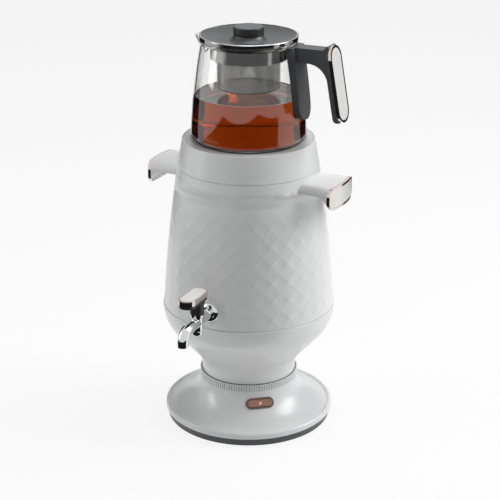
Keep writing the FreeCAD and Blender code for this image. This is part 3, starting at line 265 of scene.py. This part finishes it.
def pierced_steel():
    """Bright steel with rows of fine holes on the lower wall, the holes mostly see-through and the rest of
    them painted near black as painted shade.
    """
    f = Finish("pierced steel")
    across, along, height = f.axis("X"), f.axis("Y"), f.axis("Z")
    turn = f.node("ShaderNodeMath", {"operation": "ARCTAN2"}, {0: along, 1: across})
    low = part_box("infuser_basket")[0].z
    rows = (turn * (hole_rows / 2)).sine() * (height * (math.pi / hole_pitch)).sine()
    wall = height.soft(low + 0.0012, low + 0.0022)
    wall = wall * (1 - height.soft(pierced_top - 0.0003, pierced_top + 0.0003))
    holes = abs(rows).soft(0.12, 0.32) * wall
    cloud = f.noise(30.0, 3.0)
    # Painted shade: the holes' colour is near black where they are not see-through.
    return f.surface(Base_Color=f.blend(holes, f.blend(cloud, tone(0.50, 0.49, 0.47), tone(0.40, 0.39, 0.375)),
                                        tone(0.03, 0.028, 0.026)), Metallic=1.0,
                     Roughness=0.2 + 0.35 * holes, Alpha=1 - 0.85 * holes, Normal=f.bump(1 - holes, 0.0001))


finishes = {
    "white_enamel": white_enamel, "white_plastic": white_plastic, "dark_plastic": dark_plastic,
    "black_plastic": black_plastic, "grey_plastic": grey_plastic, "inner_plastic": inner_plastic,
    "chrome": chrome, "rose_gold": rose_gold, "pearl": pearl, "steel": steel, "aluminium": aluminium,
    "brass": brass, "silicone": silicone, "rubber": rubber, "glass": glass, "lens": lens,
    "grey_metal": grey_metal,
}


def coat_piece(piece, finish):
    piece.data.materials.clear()
    piece.data.materials.append(finish)


for subpart in frame["record"]["subparts"]:
    coat_piece(nodes[subpart["node"]], finishes[subpart["material_slot"]])
for polished in ["side_trim_right", "side_trim_left", "tap_lever_trim", "pot_handle_trim"]:
    coat_piece(nodes[polished], warm_chrome)
coat_piece(nodes["ribbed_ring"], ribbed_enamel())
coat_piece(nodes["infuser_basket"], pierced_steel())
coat_piece(nodes["infuser_collar"], spun_steel)
# The lid band gets the darkened chrome, a painted dark reflection.
coat_piece(nodes["lid_band"], dark_reflection_chrome)
coat_piece(nodes["switch_bezel"], bezel_metal)


def select_only(piece):
    bpy.ops.object.select_all(action="DESELECT")
    bpy.context.view_layer.objects.active = piece
    piece.select_set(True)


def settle(piece, name, body, finish):
    """Puts the piece's place into its mesh and hands it to its body."""
    select_only(piece)
    bpy.ops.object.transform_apply(location=True, rotation=True, scale=True)
    piece.name = name
    piece.data.name = name
    coat_piece(piece, finish)
    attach(piece, body)
    return piece


def turned(rings, sides=128):
    """Turned piece through rings of radius and height, closed at both ends."""
    radius, height = rings[0]
    bpy.ops.object.select_all(action="DESELECT")
    bpy.ops.mesh.primitive_circle_add(vertices=sides, radius=radius, location=(0, 0, height), fill_type="NGON")
    bpy.ops.object.mode_set(mode="EDIT")
    bpy.ops.mesh.select_all(action="SELECT")
    for next_radius, next_height in rings[1:]:
        bpy.ops.mesh.extrude_region_move(TRANSFORM_OT_translate={"value": (0, 0, next_height - height)})
        grow = next_radius / radius
        bpy.ops.transform.resize(value=(grow, grow, 1), center_override=(0, 0, next_height))
        radius, height = next_radius, next_height
    bpy.ops.mesh.select_all(action="SELECT")
    bpy.ops.mesh.normals_make_consistent(inside=False)
    bpy.ops.object.mode_set(mode="OBJECT")
    piece = bpy.context.object
    bpy.ops.object.shade_smooth_by_angle(angle=math.radians(35))
    return piece


# Faceted cover: its slanting edges are turned, so that they outline the diamonds
cover_low, cover_height = 0.1459, 0.168
cover_radius, cover_taper, cover_bulge = 0.1001, 0.0183, 0.00852
deepest_dent = 0.0014
levels = [cover_low, 0.1482] + [0.1588 + 0.0106 * row for row in range(13)] + [0.298]
top_level = len(levels) - 1
columns = 60


def lattice_spot(corner):
    """Column and level of a corner of the cover's outer lattice, or None off it."""
    level = min(range(len(levels)), key=lambda i: abs(levels[i] - corner.z))
    column = math.atan2(corner.x, -corner.y) / math.tau * columns
    share = (corner.z - cover_low) / cover_height
    face = cover_radius - cover_taper * share + cover_bulge * share * (1 - share)
    near = abs(levels[level] - corner.z) < 0.00008 and abs(column - round(column)) < 0.02
    if near and math.hypot(corner.x, corner.y) > face - deepest_dent:
        return round(column) % columns, level
    return None


def select_slants(mesh, joins_corners):
    """Selects the slanting lattice edges that join corners, or those that join middles.

    The top row is left out, because the dents fade out there.
    """
    spots = [lattice_spot(corner.co) for corner in mesh.vertices]
    for edge in mesh.edges:
        first, last = (spots[i] for i in edge.vertices)
        slants = False
        if first and last and abs(first[1] - last[1]) == 1 and max(first[1], last[1]) < top_level:
            beside = (first[0] - last[0]) % columns in (1, columns - 1)
            slants = beside and (sum(first) % 2 == 1) == joins_corners
        edge.select = slants


faceted_cover = bpy.data.objects.new("faceted_cover", nodes["body_shell"].data.copy())
bpy.context.scene.collection.objects.link(faceted_cover)
select_only(faceted_cover)
bpy.ops.object.mode_set(mode="EDIT")
bpy.ops.mesh.select_mode(type="EDGE")
bpy.ops.mesh.select_all(action="SELECT")
bpy.ops.mesh.remove_doubles(threshold=0.00001)
bpy.ops.mesh.select_all(action="DESELECT")
bpy.ops.object.mode_set(mode="OBJECT")
select_slants(faceted_cover.data, joins_corners=False)
bpy.ops.object.mode_set(mode="EDIT")
bpy.ops.mesh.edge_rotate(use_ccw=False)
bpy.ops.mesh.select_all(action="DESELECT")
bpy.ops.object.mode_set(mode="OBJECT")
select_slants(faceted_cover.data, joins_corners=True)
bpy.ops.object.mode_set(mode="EDIT")
bpy.ops.mesh.mark_sharp()
bpy.ops.object.mode_set(mode="OBJECT")
bpy.ops.object.shade_smooth_by_angle(angle=math.radians(20), keep_sharp_edges=True)
settle(faceted_cover, "faceted_cover", "tank_body", white_enamel)
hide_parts("body_shell")


# Tea
def brewed_tea():
    """Clear brown tea that darkens with depth."""
    f = Finish("brewed tea")
    skin = f.node("ShaderNodeBsdfPrincipled", {}, {
        "Base Color": f.blend(f.noise(12.0), tone(0.98, 0.93, 0.90), tone(0.98, 0.95, 0.93)), "Roughness": 0.0,
        "IOR": 1.333, "Transmission Weight": 1.0})
    depth = f.node("ShaderNodeVolumeAbsorption", {}, {"Color": tone(0.80, 0.50, 0.08), "Density": 56.0})
    return f.end(skin, depth)


def glass_wall(height):
    """Inner radius of the teapot's glass at a height."""
    hit, place, normal, face = nodes["pot_glass"].ray_cast(Vector((0, 0, height)), Vector((0, 1, 0)))
    return place.y


tea_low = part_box("pot_glass")[0].z + 0.0031
tea_top = 0.3975
wetting = 0.00015
tea_corner = 0.0015
tea_levels = [tea_low + tea_corner + (tea_top - tea_low - tea_corner) * step / 10 for step in range(11)]
tea_rings = [(glass_wall(tea_low + 0.0006) - 0.001, tea_low)]
tea_rings += [(glass_wall(z) + wetting, z) for z in tea_levels]
tea_rings.append((glass_wall(tea_top) - 0.0016, tea_top - 0.0005))
tea_rings.append((glass_wall(tea_top) - 0.004, tea_top - 0.0007))
settle(turned(tea_rings), "tea", "teapot", brewed_tea())


# Light, floor and camera
def lamp(name, place, aim, size, power, colour=(1, 1, 1)):
    bpy.ops.object.light_add(type="AREA", location=place)
    made = bpy.context.object
    made.name = name
    made.data.shape = "RECTANGLE"
    made.data.size, made.data.size_y = size
    made.data.energy = power
    made.data.color = colour
    made.rotation_euler = (Vector(aim) - Vector(place)).to_track_quat("-Z", "Y").to_euler()
    return made


look_side = math.radians(26.3)
look_down = math.radians(21.1)
camera_distance = 1.7595
aim = Vector((0, 0, 0.207))
back = Vector((math.sin(look_side) * math.cos(look_down), -math.cos(look_side) * math.cos(look_down),
               math.sin(look_down)))
right = Vector((math.cos(look_side), math.sin(look_side), 0))
front = Vector((math.sin(look_side), -math.cos(look_side), 0))

bpy.ops.object.camera_add(location=aim + back * camera_distance)
camera = bpy.context.object
camera.rotation_euler = (-back).to_track_quat("-Z", "Y").to_euler()
camera.data.lens = 108
camera.data.sensor_width = 36
camera.data.shift_x = 0.0026
camera.data.clip_start, camera.data.clip_end = 0.02, 50
bpy.context.scene.camera = camera

lamp("right window", right * 1.35 + front * -0.05 + Vector((0, 0, 1.15)), (0, 0, 0.22), (0.7, 1.1), 18)
lamp("left window", right * -1.5 + front * 0.1 + Vector((0, 0, 0.8)), (0, 0, 0.25), (0.4, 1.1), 7)
lamp("top window", right * 0.2 + front * -0.2 + Vector((0, 0, 1.9)), (0, 0, 0.2), (0.9, 0.9), 12)


def reflected_card(name, place, face, width, height, finish, through=False):
    """Dark card that only shows in reflections, or through glass too."""
    bpy.ops.mesh.primitive_plane_add(size=1, location=place)
    card = bpy.context.object
    card.name = name
    card.scale = (width, height, 1)
    card.rotation_euler = (Vector(face) - Vector(place)).to_track_quat("Z", "Y").to_euler()
    card.visible_camera = False
    card.visible_diffuse = False
    card.visible_transmission = through
    card.visible_shadow = False
    coat_piece(card, finish)
    return card


def card_finish():
    """Nearly black glow."""
    f = Finish("dark card")
    glow = f.node("ShaderNodeEmission", {}, {"Color": tone(0.012), "Strength": 1.0})
    return f.end(glow)


dark_card = card_finish()
reflected_card("floor card", front * 1.6 + Vector((0, 0, 0.004)), front * 1.6 + Vector((0, 0, 1)), 4.2, 2.6,
               dark_card, True)
reflected_card("far card", right * 1.6 + front * -1.1 + Vector((0, 0, 0.6)), (0, 0, 0.25), 0.7, 1.4, dark_card)
for side, across in (("right card", 0.55), ("left card", -0.55)):
    reflected_card(side, right * across + front * -0.55 + Vector((0, 0, 0.47)), (0, 0, 0.47), 0.5, 0.9,
                   dark_card, True)

bpy.ops.mesh.primitive_plane_add(size=40, location=(0, 0, 0))
floor = bpy.context.object
floor.name = "floor"


floor_glow = 0.86


def floor_finish():
    """Pale matt floor that takes a shadow, and looks nearly white."""
    f = Finish("pale floor")
    skin = f.node("ShaderNodeBsdfPrincipled", {}, {
        "Base Color": f.blend(f.noise(3.0), tone(0.86), tone(0.88)), "Roughness": 0.9})
    glow = f.node("ShaderNodeEmission", {}, {"Color": tone(1.0), "Strength": 1.0})
    rays = f.tree.nodes.new("ShaderNodeLightPath")
    seen = Wire(f, rays.outputs["Is Camera Ray"]) + Wire(f, rays.outputs["Is Glossy Ray"])
    through = Wire(f, rays.outputs["Is Transmission Ray"])
    share = f.node("ShaderNodeMath", {"operation": "MINIMUM"}, {0: seen + through, 1: 1.0}) * floor_glow
    mixed = f.node("ShaderNodeMixShader", {}, {0: share, 1: skin, 2: glow})
    return f.end(mixed)


coat_piece(floor, floor_finish())

world = bpy.data.worlds.new("studio")
bpy.context.scene.world = world
world.use_nodes = True
tree = world.node_tree
tree.nodes.clear()
rays = tree.nodes.new("ShaderNodeLightPath")
seen = tree.nodes.new("ShaderNodeMath")
seen.operation = "MAXIMUM"
shiny = tree.nodes.new("ShaderNodeMath")
shiny.operation = "MAXIMUM"
tree.links.new(rays.outputs["Is Camera Ray"], shiny.inputs[0])
tree.links.new(rays.outputs["Is Glossy Ray"], shiny.inputs[1])
tree.links.new(shiny.outputs[0], seen.inputs[0])
tree.links.new(rays.outputs["Is Transmission Ray"], seen.inputs[1])
level = tree.nodes.new("ShaderNodeMapRange")
tree.links.new(seen.outputs[0], level.inputs["Value"])
level.inputs["To Min"].default_value = 0.26
level.inputs["To Max"].default_value = 1.0
sky = tree.nodes.new("ShaderNodeBackground")
tree.links.new(level.outputs[0], sky.inputs["Strength"])
out = tree.nodes.new("ShaderNodeOutputWorld")
tree.links.new(sky.outputs[0], out.inputs["Surface"])

bpy.context.scene.view_settings.view_transform = "Standard"
